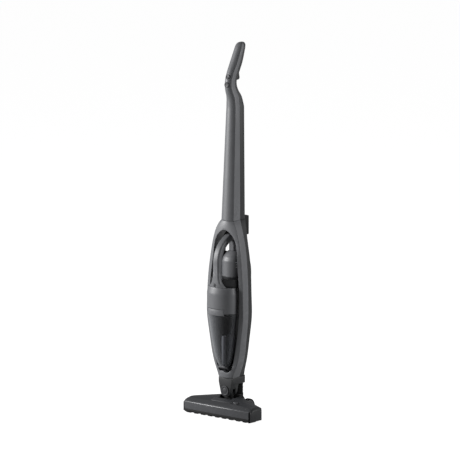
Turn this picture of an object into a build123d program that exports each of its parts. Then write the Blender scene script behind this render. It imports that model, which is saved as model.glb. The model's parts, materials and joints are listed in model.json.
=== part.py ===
"""Cordless stick vacuum: floor nozzle, jointed neck, leaf-shaped frame, hand unit and grip."""

import math
import os
from collections import namedtuple

from build123d import *

# Driving dimensions in millimetres. X is to the right, Y runs back from the
# nozzle's front edge and Z is up from the floor. Export moves the origin to the
# middle of the footprint.
NOZZLE_HALF = 132.0
FRONT_REACH = -10.0
REAR_REACH = 128.0
CENTRE_Y = (FRONT_REACH + REAR_REACH) / 2
WALL = 2.5
PART_GAP = 0.3
RUN_FIT = 0.08
SCREW_RADIUS = 1.5
SCREW_HEAD = 3.0

# Floor nozzle
CAP_DEPTH = 8.0
BAR_HALF = NOZZLE_HALF - CAP_DEPTH
BAR_DEPTH = 4.0
BAR_LOW = 11.5
BAR_TOP = 35.0
SOLE_LOW = 5.0
SOLE_TOP = 8.0
LIP_FRONT = 0.8
LIP_LOW = 3.5
HUMP_HALF = 30.0
SLOT_HALF = 24.4
HUMP_PROFILE = ((17.0, 45.0), (45.0, 55.0), (66.0, 58.0), (78.0, 52.0))
END_PROFILE = ((14.0, 42.0), (30.0, 44.5), (46.0, 43.5), (57.0, 38.0))
CAP_SHRINK = 0.86
CAP_CENTRE = (28.0, 22.0)
BRUSH_Y = 24.5
BRUSH_Z = 19.5
BRUSH_CORE = 11.5
BRUSH_REACH = 17.5
BRUSH_HALF = BAR_HALF - 17.0
BRUSH_TIP = BAR_HALF - 5.0
MOUTH_HALF = BAR_HALF - 7.5
BRUSH_SHAFT = 3.0
BRUSH_ROWS = 4
MOTOR_Y = 50.6
MOTOR_Z = 22.0
MOTOR_X = (36.0, 80.0)
MOTOR_RADIUS = 7.0
MOTOR_SHAFT = 1.5
PULLEY_X = (BAR_HALF - 15.5, BAR_HALF - 9.5)
BRUSH_PULLEY = 9.0
MOTOR_PULLEY = 3.6
BELT_THICK = 1.2
WHEEL_RADIUS = 24.0
WHEEL_X = (30.0, 42.0)
WHEEL_Y = 97.0
AXLE_RADIUS = 3.0
GLIDE_X = (BAR_HALF - 6.4, BAR_HALF - 1.4)
GLIDE_Y = (5.5, 36.0)
FOOT_PITCH = 27.0
FOOT_WIDE = 14.0
FOOT_LOW = 1.5
FEET = 9
PEDAL_HALF = 38.0
PEDAL_Y = (18.0, 35.0)
LATCH_X = (46.0, 60.0)
LATCH_Y = (21.0, 29.0)
SOLE_SCREWS = ((90.0, 57.0), (45.0, 63.0))

# Neck: the recline axis runs along X and the swing axis along Y
RECLINE_Y = 80.0
RECLINE_Z = 40.0
DRUM_RADIUS = 17.5
HINGE_PIN = 4.0
SWING_Z = 75.0
PIVOT_PIN = 5.0
CAP_RADIUS = 14.5
TONGUE_RADIUS = 18.5
NECK_HALF = 25.5
NECK_Y = (38.0, 108.0)
NECK_CORNER = 20.0
LUG_Y = (50.0, 60.0)
LUG_GAP = 0.6
LUG_HALF = 13.0
NECK_TOP = 114.0
HOSE_Y = 90.5
HOSE_Z = (60.0, 94.0)
HOSE_RADIUS = 17.5
HOSE_BORE = 12.5
HOSE_RIBS = 8

# Frame, tube and grip, as level sections from the bottom up. half is the half
# width at the crease, crease and front are the Y of the crease and of the crown,
# seam is where the dark back shell starts and back is its rearmost Y. hollow is
# the share of the section that its hollow takes up.
Level = namedtuple("Level", "z half crease front back_half seam back hollow", defaults=[0.87])
FRAME = [
    Level(114.5, 26.5, 40.0, 33.0, 25.0, 72.0, 101.0),
    Level(143.0, 38.5, 40.0, 32.0, 35.5, 73.0, 95.0),
    Level(167.0, 47.6, 40.0, 31.5, 44.0, 72.0, 92.0),
    Level(214.0, 57.6, 39.0, 30.0, 54.0, 69.0, 91.0),
    Level(261.0, 65.6, 38.0, 29.0, 61.5, 66.5, 92.0),
    Level(332.0, 70.0, 37.0, 28.0, 66.0, 65.5, 92.0),
    Level(403.0, 67.0, 38.5, 30.0, 63.0, 67.0, 92.0),
    Level(474.0, 58.7, 41.0, 33.0, 55.0, 69.5, 92.0),
    Level(521.0, 49.5, 42.5, 35.0, 46.0, 70.0, 92.5),
    Level(550.0, 39.7, 43.5, 36.0, 37.0, 71.0, 98.0),
    Level(575.0, 24.0, 47.8, 39.8, 22.2, 79.0, 106.0),
]
TUBE = [
    Level(575.6, 23.6, 48.2, 40.2, 21.8, 79.0, 106.0),
    Level(905.0, 18.2, 63.5, 55.8, 16.5, 83.0, 107.0),
]
GRIP = [
    TUBE[-1],
    Level(935.0, 16.2, 61.5, 54.0, 14.6, 81.5, 98.0),
    Level(955.0, 14.2, 54.3, 46.8, 12.7, 73.0, 85.0),
    Level(972.0, 13.2, 51.5, 44.0, 11.9, 68.0, 78.5),
    Level(990.0, 13.2, 53.5, 46.3, 11.9, 69.5, 80.0),
    Level(1010.0, 13.6, 61.3, 54.5, 12.2, 77.3, 91.0),
    Level(1040.0, 14.3, 77.0, 70.5, 12.8, 91.0, 104.5),
    Level(1075.0, 13.4, 93.5, 88.0, 12.0, 105.0, 115.0),
]
TIP = [
    Level(1083.0, 12.3, 97.0, 92.2, 11.0, 107.3, 116.8, 0.7),
    Level(1088.0, 9.6, 100.0, 96.5, 8.6, 109.0, 116.5, 0.4),
    Level(1091.0, 5.0, 103.3, 101.3, 4.5, 109.6, 114.5, 0.1),
]
GRIP_STEPS = 4
BACK_DRAFT = 0.94
BACK_CORNER = 0.45
RAIL_WIDTH = 13.0
OPENING_LOW = 132.0
OPENING_HIGH = 549.0
OPENING_FOOT = 19.0
OPENING_SHOULDER = 21.0
WINDOW_Z = (474.0, 516.0)
FRAME_SCREWS = ((61.8, 300.0), (56.6, 445.0))
COVER = [
    Level(300.0, 46.0, 74.0, 74.0, 46.0, 74.0, 96.0),
    Level(313.0, 53.0, 74.0, 74.0, 53.0, 74.0, 99.0),
    Level(345.0, 56.0, 74.0, 74.0, 56.0, 74.0, 100.0),
    Level(403.0, 55.0, 74.0, 74.0, 55.0, 74.0, 100.0),
    Level(458.0, 50.0, 74.0, 74.0, 50.0, 74.0, 99.0),
    Level(474.0, 43.0, 74.0, 74.0, 43.0, 74.0, 95.0),
]
BRACKET_Z = (525.0, 581.0)
BRACKET_HALF = 11.0
BRACKET_ROOT = 89.0
BRACKET_BORE = 4.0
BRACKET_BORE_Y = 122.0
POWER_Y = 44.0
POWER_Z = 973.5
POWER_RADIUS = 8.0
BOOST_Y = 48.6
BOOST_Z = 997.0
BOOST_RADIUS = 7.0
BOOST_LEAN = 20.0
BUTTON_PROUD = 1.0
BUTTON_DEEP = 8.0
BUTTON_FIT = 0.4
SPUR_HALF = 5.5

# Hand unit, docked
UNIT_Y = 25.0
COLLAR_X = 50.0
COLLAR_Y = 35.0
COLLAR_Z = (310.0, 385.0)
COLLAR_WALL = 5.5
HOUSING_X = 47.0
HOUSING_Y = 40.0
HOUSING_MID = 45.0
HOUSING_TOP = 409.0
DOME_WALL = 2.0
HANDLE_WIDE = 24.0
HANDLE_DEEP = 20.0
HANDLE_FRONT = 5.5
HANDLE_REAR = 74.0
HANDLE_BEND_Z = (496.0, 538.0)
FOOT_RISE = 44.0
FOOT_HALF = 28.0
CUP_LATCH_HALF = 31.0
CUP_LATCH_Z = (304.0, 322.0)
CUP_LATCH_THICK = 2.5
LATCH_GAP = 1.0
HAND_BUTTON_Z = 392.0
HAND_BUTTON_RADIUS = 4.5
CELL_RADIUS = 9.0
CELL_HALF = 25.0
IMPELLER_RADIUS = 26.0
IMPELLER_BLADES = 9
FAN_SHAFT = 3.0
FAN_Z = (313.0, 330.8)

# Dust cup: level ellipses from the rim down, as half width, half depth and middle Y
Ring = namedtuple("Ring", "z wide deep middle")
DOME = [
    Ring(HOUSING_TOP + PART_GAP, 31.0, 20.0, 65.0),
    Ring(456.0, 31.0, 20.0, 65.0),
    Ring(466.0, 28.5, 18.0, 66.5),
    Ring(475.0, 23.5, 15.0, 70.0),
    Ring(482.0, 17.5, 11.5, 73.5),
    Ring(487.5, 11.0, 7.5, 77.0),
    Ring(491.0, 4.0, 2.5, 80.0),
]
CUP = [
    Ring(309.5, 49.0, 34.5, 25.5),
    Ring(286.0, 45.5, 31.9, 27.2),
    Ring(239.0, 39.5, 27.8, 29.2),
    Ring(192.0, 31.6, 22.4, 31.4),
    Ring(168.0, 25.5, 18.4, 33.4),
    Ring(150.0, 18.5, 13.6, 36.5),
]
CUP_WALL = 2.0
PIPE_Y = 33.0
PIPE_RADIUS = 6.5
PIPE_TOP = 237.0
NOSE_HALF = 17.0
NOSE_LOW = 134.3
MOUTH_Y = 60.0
MOUTH_RADIUS = 11.0
SEAL_TOP = 134.0
SEAL_RIM = 2.5
DUCT_RADIUS = 10.5
DUCT_WALL = 1.8
DUCT_Y = 84.0
DUCT_Z = (98.0, 131.0)


def block(x, y, z):
    """Box between three (low, high) ranges."""
    spans = (x, y, z)
    size = [high - low for low, high in spans]
    middle = [(low + high) / 2 for low, high in spans]
    return Pos(*middle) * Box(*size)


def rod(axis, radius, span, centre):
    """Cylinder along X, Y or Z, with centre giving the other two coordinates."""
    length = span[1] - span[0]
    middle = (span[0] + span[1]) / 2
    a, b = centre
    if axis == "X":
        return Pos(middle, a, b) * Rot(0, 90, 0) * Cylinder(radius, length)
    if axis == "Y":
        return Pos(a, middle, b) * Rot(90, 0, 0) * Cylinder(radius, length)
    return Pos(a, b, middle) * Cylinder(radius, length)


def side_plate(points, x):
    """Prism of a Y, Z outline between two X values."""
    face = make_face(Polyline(*points, close=True))
    return extrude(Plane.YZ.offset(x[0]) * face, x[1] - x[0])


def front_plate(outline, y):
    """Prism of an X, Z face between two Y values."""
    plane = Plane(origin=(0, y[0], 0), x_dir=(1, 0, 0), z_dir=(0, -1, 0))
    return extrude(plane * outline, -(y[1] - y[0]))


def mirrored(solid):
    """The solid and its mirror image across the middle plane."""
    return solid, mirror(solid, about=Plane.YZ)


def group(solids):
    """Several separate solids as one shape."""
    return Compound([one for solid in solids for one in solid.solids()])


def drawn_in(point, level, share):
    """The point moved towards the middle of the section's seam."""
    x, y = point
    return x * share, level.seam + (y - level.seam) * share


def front_section(level):
    """Grey shell's whole level section: crown arc, two side bands and a straight back."""
    half, back_half = level.half, level.back_half
    crown = ThreePointArc((-half, level.crease), (0, level.front), (half, level.crease))
    corners = [(half, level.crease), (back_half, level.seam), (-back_half, level.seam), (-half, level.crease)]
    rest = Polyline(*corners)
    return Pos(0, 0, level.z) * make_face([crown, *rest.edges()])


def front_wall(level):
    """Grey shell's wall at a level: the section's crown and bands with its hollow left out."""
    outer = [
        (-level.back_half, level.seam),
        (-level.half, level.crease),
        (0, level.front),
        (level.half, level.crease),
        (level.back_half, level.seam),
    ]
    inner = [drawn_in(point, level, level.hollow) for point in outer]
    edges = [
        Line(outer[0], outer[1]),
        ThreePointArc(*outer[1:4]),
        Line(outer[3], outer[4]),
        Line(outer[4], inner[4]),
        Line(inner[4], inner[3]),
        ThreePointArc(inner[3], inner[2], inner[1]),
        Line(inner[1], inner[0]),
        Line(inner[0], outer[0]),
    ]
    return Pos(0, 0, level.z) * make_face(edges)


def back_points(level):
    """Dark shell's outline from left to right: straight flanks, round corners and a flat back."""
    start = level.seam + PART_GAP
    wide = level.back_half * BACK_DRAFT
    corner = BACK_CORNER * min(wide, level.back - start)
    cut = corner * (1 - math.sqrt(0.5))
    right = [
        (wide - corner, level.back),
        (wide - cut, level.back - cut),
        (wide, level.back - corner),
        (level.back_half, start),
    ]
    return [(-x, y) for x, y in reversed(right)] + right


def back_edges(points):
    """Edges along the dark shell's outline."""
    return [
        Line(points[0], points[1]),
        ThreePointArc(*points[1:4]),
        Line(points[3], points[4]),
        ThreePointArc(*points[4:7]),
        Line(points[6], points[7]),
    ]


def back_section(level):
    """Dark shell's whole level section."""
    points = back_points(level)
    return Pos(0, 0, level.z) * make_face([*back_edges(points), Line(points[-1], points[0])])


def back_wall(level):
    """Dark shell's wall at a level."""
    outer = back_points(level)
    start = level.seam + PART_GAP
    inner = [(x * level.hollow, start + (y - start) * level.hollow) for x, y in outer]
    ends = [Line(outer[-1], inner[-1]), Line(inner[0], outer[0])]
    return Pos(0, 0, level.z) * make_face([*back_edges(outer), *back_edges(inner), *ends])


def ellipse_loft(rings, inset=0.0):
    """Smooth loft through level ellipses."""
    faces = [
        Pos(0, ring.middle, ring.z) * Ellipse(ring.wide - inset, ring.deep - inset) for ring in rings
    ]
    return loft(faces)


def leaf_face(grow=0.0):
    """Frame opening in X and Z: the frame's outline less the rails."""
    foot = (OPENING_FOOT + grow, OPENING_LOW + 1.0 - grow)
    toe = (OPENING_FOOT + 9.0 + grow, OPENING_LOW + 14.0)
    side = [(level.half - RAIL_WIDTH + grow, level.z) for level in FRAME[2:9]]
    shoulder = (OPENING_SHOULDER + grow, OPENING_HIGH - 9.0 + grow)
    right = [foot, toe, *side, shoulder]
    left = [(-x, z) for x, z in reversed(right)]
    points = [(0, OPENING_LOW - grow), *right, (0, OPENING_HIGH + grow), *left]
    return make_face(Spline(points, periodic=True))


def nozzle_profile(middle, inset=0.0, low=SOLE_TOP):
    """Y, Z outline of the nozzle cover at its hump or at its ends."""
    top = HUMP_PROFILE if middle else END_PROFILE
    rear = top[-1][0] - inset
    points = [(BAR_DEPTH + inset, low), (BAR_DEPTH + inset, BAR_TOP - inset)]
    points += [(y, z - inset) for y, z in top[:-1]]
    points += [(rear, top[-1][1] - inset), (rear, low)]
    return make_face(Polyline(*points, close=True))


def nozzle_hull(inset=0.0, low=SOLE_TOP):
    """Solid form of the nozzle cover, straight between its hump and its ends."""
    end = BAR_HALF - inset
    stops = [(-end, False), (-HUMP_HALF, True), (HUMP_HALF, True), (end, False)]
    faces = [Plane.YZ.offset(x) * nozzle_profile(middle, inset, low) for x, middle in stops]
    return loft(faces, ruled=True)


def hump_top(y):
    """Height of the cover's sloping top over the pedal."""
    (near, low), (far, high) = HUMP_PROFILE[:2]
    return low + (y - near) * (high - low) / (far - near)


def nozzle_screws():
    """Screws up through the sole into the cover's posts, heads sunk in the sole."""
    screws = []
    for place in SOLE_SCREWS:
        head = rod("Z", SCREW_HEAD, (SOLE_LOW + 0.4, SOLE_LOW + 1.6), place)
        screws += mirrored(head + rod("Z", SCREW_RADIUS, (SOLE_LOW + 1.6, SOLE_TOP + 8.0), place))
    return screws


def nozzle_cover():
    cover = nozzle_hull() - nozzle_hull(WALL, SOLE_TOP - 5.0)
    for place in SOLE_SCREWS:
        post = rod("Z", SCREW_HEAD, (SOLE_TOP, 60.0), place) & nozzle_hull(WALL / 2)
        for boss in mirrored(post):
            cover += boss
    for screw in nozzle_screws():
        cover -= screw
    cover -= block((-SLOT_HALF, SLOT_HALF), (36.0, 110.0), (43.0, 80.0))
    cover -= block((-SLOT_HALF - 5.6, SLOT_HALF + 5.6), (46.0, 110.0), (0.0, 80.0))
    pedal_gap = 0.6
    cover -= block(
        (-PEDAL_HALF - pedal_gap, PEDAL_HALF + pedal_gap),
        (PEDAL_Y[0] - pedal_gap, PEDAL_Y[1] + pedal_gap),
        (36.0, 60.0),
    )
    latch_gap = 0.5
    latch_travel = 5.0
    cover -= block(
        (LATCH_X[0] - latch_gap, LATCH_X[1] + latch_travel + latch_gap),
        (LATCH_Y[0] - latch_gap, LATCH_Y[1] + latch_gap),
        (38.0, 60.0),
    )
    arch = rod("X", WHEEL_RADIUS + 2.0, (WHEEL_X[0] - 1.0, WHEEL_X[1] + 2.0), (WHEEL_Y, WHEEL_RADIUS))
    for wheel_arch in mirrored(arch):
        cover -= wheel_arch
    return max(cover.solids(), key=lambda solid: solid.volume)


def nozzle_sole():
    """Bottom plate with the brush mouth, the rear arms, a back wall and a toothed front lip."""
    half = BAR_HALF - WALL - 0.5
    corners = [(-half, 5.0), (half, 5.0), (half, 54.0), (HUMP_HALF, 75.0), (-HUMP_HALF, 75.0), (-half, 54.0)]
    plate = Pos(0, 0, SOLE_LOW) * extrude(make_face(Polyline(*corners, close=True)), SOLE_TOP - SOLE_LOW)
    plate -= block((-MOUTH_HALF, MOUTH_HALF), (8.0, 42.5), (0.0, 20.0))
    plate -= block((-SLOT_HALF, SLOT_HALF), (48.0, 90.0), (0.0, 20.0))
    wall = block((-BRUSH_HALF, BRUSH_HALF), (42.5, 43.4), (SOLE_TOP - 1.0, 38.0))
    wall -= rod("Y", 9.0, (40.0, 46.0), (0.0, BRUSH_Z + 3.0))
    sole = plate + wall + block((-BAR_HALF, BAR_HALF), (LIP_FRONT, 5.0), (LIP_LOW, SOLE_TOP))
    sole += block((-BAR_HALF, BAR_HALF), (LIP_FRONT, BAR_DEPTH), (LIP_LOW, BAR_LOW - PART_GAP))
    arm_rear = WHEEL_Y + 8.0
    arm_top = [(arm_rear, 32.0), (88.0, 50.0), (72.0, 52.0), (50.0, 40.0)]
    arm_outline = [(50.0, SOLE_LOW), (arm_rear, 14.0), *arm_top]
    arm_span = (SLOT_HALF, WHEEL_X[0] - 0.5)
    arm = side_plate(arm_outline, arm_span)
    arm -= rod("X", HINGE_PIN, arm_span, (RECLINE_Y, RECLINE_Z))
    arm -= rod("X", AXLE_RADIUS, arm_span, (WHEEL_Y, WHEEL_RADIUS))
    for one_arm in mirrored(arm):
        sole += one_arm
    for step in range(FEET):
        left = (step - (FEET - 1) / 2) * FOOT_PITCH - FOOT_WIDE / 2
        sole += block((left, left + FOOT_WIDE), (LIP_FRONT, 8.0), (FOOT_LOW, SOLE_TOP))
    for screw in nozzle_screws():
        sole -= screw
    return sole


def front_bar():
    bar = block((-BAR_HALF, BAR_HALF), (0.0, BAR_DEPTH), (BAR_LOW, BAR_TOP))
    front = bar.edges().filter_by(Axis.X).group_by(Axis.Y)[0].sort_by(Axis.Z)
    bar = fillet(front[-1], 3.6)
    front = bar.edges().filter_by(Axis.X).group_by(Axis.Y)[0].sort_by(Axis.Z)
    return fillet(front[0], 1.0)


def end_cap():
    """Right end cap, drawn in towards its outer face."""
    inner = nozzle_profile(False, low=SOLE_LOW)
    y, z = CAP_CENTRE
    outer = Pos(y, z) * scale(Pos(-y, -z) * inner, by=CAP_SHRINK)
    return loft([Plane.YZ.offset(BAR_HALF) * inner, Plane.YZ.offset(NOZZLE_HALF) * outer], ruled=True)


def front_glides():
    right = block(GLIDE_X, GLIDE_Y, (0.0, SOLE_LOW))
    return group(mirrored(chamfer(right.edges().group_by(Axis.Z)[0], 1.0)))


def brush_core():
    core = rod("X", BRUSH_CORE, (-BRUSH_HALF, BRUSH_HALF), (BRUSH_Y, BRUSH_Z))
    return core + rod("X", BRUSH_SHAFT, (-BRUSH_TIP, BRUSH_TIP), (BRUSH_Y, BRUSH_Z))


def brush_bristles():
    """Rows of bristle standing on the core, each a thin radial blade."""
    blades = []
    for row in range(BRUSH_ROWS):
        turn = 45.0 + row * 360.0 / BRUSH_ROWS
        blade = block((-BRUSH_HALF + 2, BRUSH_HALF - 2), (-1.2, 1.2), (BRUSH_CORE - 1.0, BRUSH_REACH))
        blades.append(Pos(0, BRUSH_Y, BRUSH_Z) * Rot(turn, 0, 0) * blade)
    core = rod("X", BRUSH_CORE, (-BRUSH_HALF - 1, BRUSH_HALF + 1), (BRUSH_Y, BRUSH_Z))
    return group([blade - core for blade in blades])


def brush_pulley():
    pulley = rod("X", BRUSH_PULLEY, PULLEY_X, (BRUSH_Y, BRUSH_Z))
    return pulley - rod("X", BRUSH_SHAFT, PULLEY_X, (BRUSH_Y, BRUSH_Z))


def brush_bearings():
    span = (MOUTH_HALF - 0.3, BAR_HALF - WALL)
    ring = rod("X", 2 * BRUSH_SHAFT, span, (BRUSH_Y, BRUSH_Z))
    ring -= rod("X", BRUSH_SHAFT + RUN_FIT, span, (BRUSH_Y, BRUSH_Z))
    return group(mirrored(ring))


def brush_motor():
    near, far = MOTOR_X
    can = rod("X", MOTOR_RADIUS, MOTOR_X, (MOTOR_Y, MOTOR_Z))
    boss = rod("X", 4.0, (far, far + 3.0), (MOTOR_Y, MOTOR_Z))
    return can + boss - rod("X", MOTOR_SHAFT + RUN_FIT, ((near + far) / 2, far + 4.0), (MOTOR_Y, MOTOR_Z))


def motor_pulley():
    wheel = rod("X", MOTOR_PULLEY, PULLEY_X, (MOTOR_Y, MOTOR_Z))
    return wheel + rod("X", MOTOR_SHAFT, (MOTOR_X[1] - 18.0, PULLEY_X[0]), (MOTOR_Y, MOTOR_Z))


def belt_outline(grow):
    """Outline of the belt round its two pulleys in Y and Z."""
    discs = [
        Pos(BRUSH_Y, BRUSH_Z) * Circle(BRUSH_PULLEY + grow),
        Pos(MOTOR_Y, MOTOR_Z) * Circle(MOTOR_PULLEY + grow),
    ]
    return make_hull([edge for disc in discs for edge in disc.edges()])


def drive_belt():
    loop = belt_outline(PART_GAP + BELT_THICK) - belt_outline(PART_GAP)
    return extrude(Plane.YZ.offset(PULLEY_X[0] + 0.5) * loop, PULLEY_X[1] - PULLEY_X[0] - 1.0)


def foot_pedal():
    proud = 1.2
    deep = 2.0
    near, far = PEDAL_Y
    outline = [
        (near, hump_top(near) + proud),
        (far, hump_top(far) + proud),
        (far, hump_top(far) - deep),
        (near, hump_top(near) - deep),
    ]
    return side_plate(outline, (-PEDAL_HALF, PEDAL_HALF))


def brush_latch():
    tab = block(LATCH_X, LATCH_Y, (42.0, 49.5))
    return fillet(tab.edges().group_by(Axis.Z)[-1], 1.2)


def wheel_hub():
    hub = rod("X", WHEEL_RADIUS - 4.0, WHEEL_X, (WHEEL_Y, WHEEL_RADIUS))
    hub -= rod("X", AXLE_RADIUS + RUN_FIT, WHEEL_X, (WHEEL_Y, WHEEL_RADIUS))
    dish = rod("X", 14.0, (WHEEL_X[1] - 2.5, WHEEL_X[1]), (WHEEL_Y, WHEEL_RADIUS))
    return hub - (dish - rod("X", 6.0, (WHEEL_X[1] - 2.5, WHEEL_X[1]), (WHEEL_Y, WHEEL_RADIUS)))


def wheel_tyre():
    tyre = rod("X", WHEEL_RADIUS, WHEEL_X, (WHEEL_Y, WHEEL_RADIUS))
    tyre = fillet(tyre.edges(), 2.0)
    return tyre - rod("X", WHEEL_RADIUS - 4.0, WHEEL_X, (WHEEL_Y, WHEEL_RADIUS))


def wheel_axles():
    axle = rod("X", AXLE_RADIUS, (SLOT_HALF + 0.2, WHEEL_X[1] + 0.6), (WHEEL_Y, WHEEL_RADIUS))
    return group(mirrored(axle))


def yoke_pins():
    pin = rod("X", HINGE_PIN, (14.0, WHEEL_X[0] - 0.5), (RECLINE_Y, RECLINE_Z))
    return group(mirrored(pin))


def yoke():
    """Drum on the recline axis, an arm forward to the swing pivot and a hose stub."""
    drum = rod("X", DRUM_RADIUS, (-SLOT_HALF + 0.6, SLOT_HALF - 0.6), (RECLINE_Y, RECLINE_Z))
    body = drum + block((-LUG_HALF, LUG_HALF), (LUG_Y[0], RECLINE_Y), (RECLINE_Z - 12.0, RECLINE_Z + 8.0))
    body += block((-LUG_HALF, LUG_HALF), LUG_Y, (RECLINE_Z + 6.0, SWING_Z))
    body += rod("Y", LUG_HALF, LUG_Y, (0.0, SWING_Z))
    body += rod("Z", HOSE_RADIUS, (RECLINE_Z, HOSE_Z[0]), (0.0, HOSE_Y))
    body -= rod("Z", HOSE_BORE, (RECLINE_Z - 2.0, HOSE_Z[0]), (0.0, HOSE_Y))
    body -= rod("Y", 7.0, (49.0, HOSE_Y), (0.0, RECLINE_Z - 2.0))
    body -= rod("X", HINGE_PIN + RUN_FIT, (14.0, 30.0), (RECLINE_Y, RECLINE_Z))
    body -= rod("X", HINGE_PIN + RUN_FIT, (-30.0, -14.0), (RECLINE_Y, RECLINE_Z))
    return body - rod("Y", PIVOT_PIN, LUG_Y, (0.0, SWING_Z))


def pivot_pin():
    """Swing pin with the round cap that shows in front of the neck."""
    front = NECK_Y[0]
    pin = rod("Y", PIVOT_PIN, (front - PART_GAP, 69.0), (0.0, SWING_Z))
    cap = rod("Y", CAP_RADIUS, (front - 3.0, front - PART_GAP), (0.0, SWING_Z))
    cap = fillet(cap.edges().group_by(Axis.Y)[0], 1.0)
    groove = rod("Y", 9.6, (front - 3.0, front - 2.2), (0.0, SWING_Z))
    groove -= rod("Y", 8.8, (front - 3.0, front - 2.2), (0.0, SWING_Z))
    return pin + cap - groove


def neck_hose():
    """Ribbed hose, four rings a rib."""
    pitch = (HOSE_Z[1] - HOSE_Z[0]) / HOSE_RIBS
    valley = HOSE_RADIUS - 1.7
    rings = []
    for rib in range(HOSE_RIBS):
        low = HOSE_Z[0] + rib * pitch
        for share, radius in ((0.0, valley), (0.3, HOSE_RADIUS), (0.6, HOSE_RADIUS), (0.9, valley)):
            rings.append(Pos(0, HOSE_Y, low + share * pitch) * Circle(radius))
    rings.append(Pos(0, HOSE_Y, HOSE_Z[1]) * Circle(valley))
    return loft(rings, ruled=True) - rod("Z", HOSE_BORE, HOSE_Z, (0.0, HOSE_Y))


def neck_shell():
    """Casing with a round foot about the swing axis and a block that carries the frame."""
    foot = Pos(0, SWING_Z) * Circle(TONGUE_RADIUS)
    top = Pos(0, NECK_TOP - 7.0) * Rectangle(2 * NECK_HALF, 14.0)
    outline = make_hull([*foot.edges(), *top.edges()])
    front, rear = NECK_Y
    cheek = (front, 70.0)
    neck = front_plate(outline, cheek)
    slot = (LUG_Y[0] - LUG_GAP, LUG_Y[1] + LUG_GAP)
    neck -= block((-16.0, 16.0), slot, (40.0, 92.0))
    neck -= block((-40.0, 40.0), slot, (40.0, 80.0))
    plan = Pos(0, (front + rear) / 2) * RectangleRounded(2 * NECK_HALF, rear - front, NECK_CORNER)
    collar = Pos(0, 0, HOSE_Z[1]) * extrude(plan, NECK_TOP - HOSE_Z[1])
    neck += collar - block((-NECK_HALF, NECK_HALF), (0.0, cheek[1] - 20.0), (0.0, NECK_TOP))
    neck -= block((-18.0, 18.0), (46.0, rear - 6.0), (98.0, NECK_TOP))
    neck -= rod("Z", HOSE_BORE, (90.0, 99.0), (0.0, HOSE_Y))
    return neck - rod("Y", PIVOT_PIN + RUN_FIT, (30.0, 72.0), (0.0, SWING_Z))


def duct_form(radius):
    """Pipe from the hose up and forward to the nose."""
    low = Pos(0, DUCT_Y, DUCT_Z[0]) * Circle(radius)
    high = Pos(0, MOUTH_Y, DUCT_Z[1]) * Circle(radius)
    return loft([low, high], ruled=True)


def inlet_duct():
    return duct_form(DUCT_RADIUS) - duct_form(DUCT_RADIUS - DUCT_WALL)


def nose_seal():
    span = (DUCT_Z[1] + 0.2, SEAL_TOP)
    ring = rod("Z", DUCT_RADIUS + SEAL_RIM, span, (0.0, MOUTH_Y))
    return ring - rod("Z", DUCT_RADIUS - DUCT_WALL, span, (0.0, MOUTH_Y))


def seat_room():
    """Space for the duct and its seal through the frame's foot."""
    seal = rod("Z", DUCT_RADIUS + SEAL_RIM + PART_GAP, (DUCT_Z[1] - 5.0, 140.0), (0.0, MOUTH_Y))
    return duct_form(DUCT_RADIUS + PART_GAP) + seal


def contact_block():
    return block((-9.0, 9.0), (68.0, 84.0), (536.5, 556.0))


def wire_run(radius):
    path = FilletPolyline((0, 74, 556), (0, 74, 900), (0, 63, 947), radius=60)
    return sweep(Plane(origin=path @ 0, z_dir=path % 0) * Circle(radius), path)


def frame_screws():
    """Screws from the dark shell's edge into the grey shell's rails."""
    screws = []
    for place in FRAME_SCREWS:
        screws += mirrored(rod("Y", SCREW_RADIUS, (57.0, 71.0), place))
    return screws


def frame_front():
    shell = loft([front_section(level) for level in FRAME])
    shell -= front_plate(leaf_face(), (0.0, 120.0))
    channel = leaf_face(RAIL_WIDTH - WALL - 4.5) - leaf_face(WALL)
    shell -= front_plate(channel, (44.0, 120.0)) & block((-80, 80), (0, 120), (150.0, 530.0))
    shell -= seat_room()
    for screw in frame_screws():
        shell -= screw
    return shell - contact_block() - wire_run(2.8)


def frame_back_hull(grow):
    grown = [level._replace(back_half=level.back_half + grow, back=level.back + grow) for level in FRAME]
    return loft([back_section(level) for level in grown])


def frame_back():
    shell = loft([back_wall(level._replace(hollow=0.94)) for level in FRAME])
    shell -= front_plate(leaf_face(), (0.0, 130.0)) & block((-80, 80), (0, 130), WINDOW_Z)
    for screw in frame_screws():
        shell -= screw
    return shell - contact_block() - rear_bracket()


def rear_cover():
    cover = loft([back_section(level) for level in COVER]) - frame_back_hull(PART_GAP)
    lower = [level._replace(z=level.z + shift) for level, shift in zip(COVER, (3, 0, 0, 0, 0, -3))]
    inner = [
        level._replace(back_half=level.back_half - WALL, seam=level.seam - 2, back=level.back - WALL)
        for level in lower
    ]
    cover -= loft([back_section(level) for level in inner])
    return max(cover.solids(), key=lambda solid: solid.volume)


def dock_board():
    return block((-22.0, 22.0), (94.0, 95.6), (330.0, 420.0))


def in_grip(solid, y, z, lean=0.0):
    """The solid with its Z axis pointing into the grip's face at y, z, leaning down by an angle."""
    return Pos(0, y, z) * Rot(-90 - lean, 0, 0) * solid


def button_holes():
    power = in_grip(Cylinder(POWER_RADIUS + BUTTON_FIT, 3 * BUTTON_DEEP), POWER_Y, POWER_Z)
    return power + in_grip(Cylinder(BOOST_RADIUS + BUTTON_FIT, 3 * BUTTON_DEEP), BOOST_Y, BOOST_Z, BOOST_LEAN)


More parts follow.
